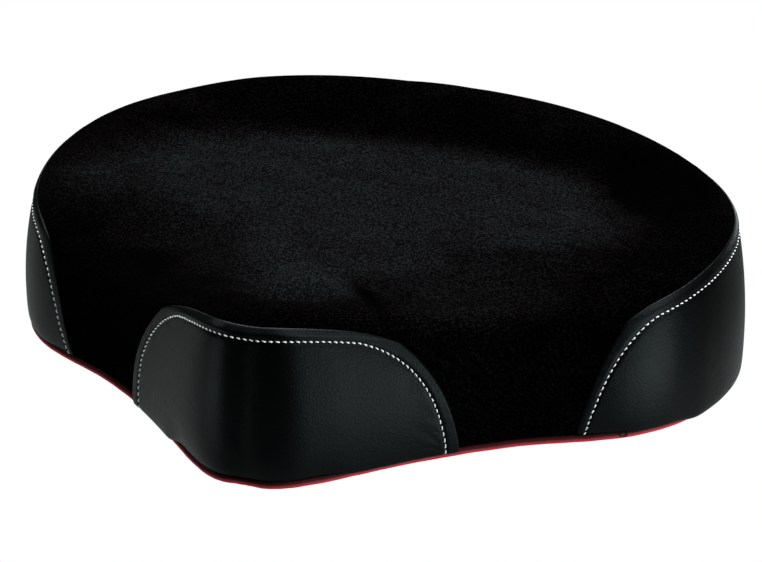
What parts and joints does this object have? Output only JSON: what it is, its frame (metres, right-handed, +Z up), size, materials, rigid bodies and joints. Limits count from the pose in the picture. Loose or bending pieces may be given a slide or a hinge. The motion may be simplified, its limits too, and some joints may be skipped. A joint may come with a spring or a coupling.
{
  "type": "drum throne seat",
  "caption": "Saddle-shaped padded drum throne seat with a velour top, leatherette side panels, contrasting piping and a screw clamp for its post.",
  "frame": {"origin": "centre of the post socket's mouth, at the lowest point of the bracket's liner", "axes": "+Z up along the post, -Y towards the saddle's nose, +X to the right as seen from the nose"},
  "size_m": [0.4738, 0.3779, 0.1761],
  "materials": {
    "velour": "black short-pile velour, brushed marks",
    "leatherette": "black smooth vinyl leatherette, fine grain, soft gloss",
    "red_vinyl": "red vinyl piping, satin",
    "white_thread": "white twisted topstitching thread",
    "foam": "open-cell polyurethane foam",
    "plywood": "birch plywood",
    "cotton_cord": "cotton filler cord",
    "skirt_cloth": "black woven pull cloth",
    "dust_cloth": "black non-woven dust cloth",
    "black_paint": "black powder coat",
    "zinc_steel": "zinc-plated steel",
    "black_nylon": "moulded black nylon"
  },
  "bodies": {
    "seat": {"base_board": "plywood", "tee_nuts": "zinc_steel", "foam_base": "foam", "foam_top": "foam", "top_cover": "velour", "front_panel": "leatherette", "right_panel": "leatherette", "left_panel": "leatherette", "front_topstitch": "white_thread", "right_topstitch": "white_thread", "left_topstitch": "white_thread", "piping": "red_vinyl", "piping_cord": "cotton_cord", "pull_skirt": "skirt_cloth", "skirt_staples": "zinc_steel", "dust_cover": "dust_cloth", "dust_cover_staples": "zinc_steel", "bracket_plate": "black_paint", "bracket_sleeve": "black_paint", "bracket_gussets": "black_paint", "bracket_bolts": "zinc_steel", "lock_washers": "zinc_steel", "flat_washers": "zinc_steel", "post_liner": "black_nylon"},
    "shoe": {"clamp_shoe": "zinc_steel"},
    "t_bolt": {"clamp_screw": "zinc_steel", "t_handle": "black_paint", "handle_pin": "zinc_steel"}
  },
  "joints": [
    {"name": "shoe_slide", "type": "slide", "parent": "seat", "child": "shoe", "axis": [0, -1, 0], "range_m": [-0.0014, 0.0014]},
    {"name": "t_bolt_turn", "type": "hinge", "parent": "shoe", "child": "t_bolt", "pos_m": [0, 0.0535, 0.023], "axis": [0, -1, 0], "range_deg": [-405, 405]}
  ],
  "couplings": [
    {"joint": "t_bolt_turn", "follows": "shoe_slide", "rad_per_m": 5026.5}
  ]
}
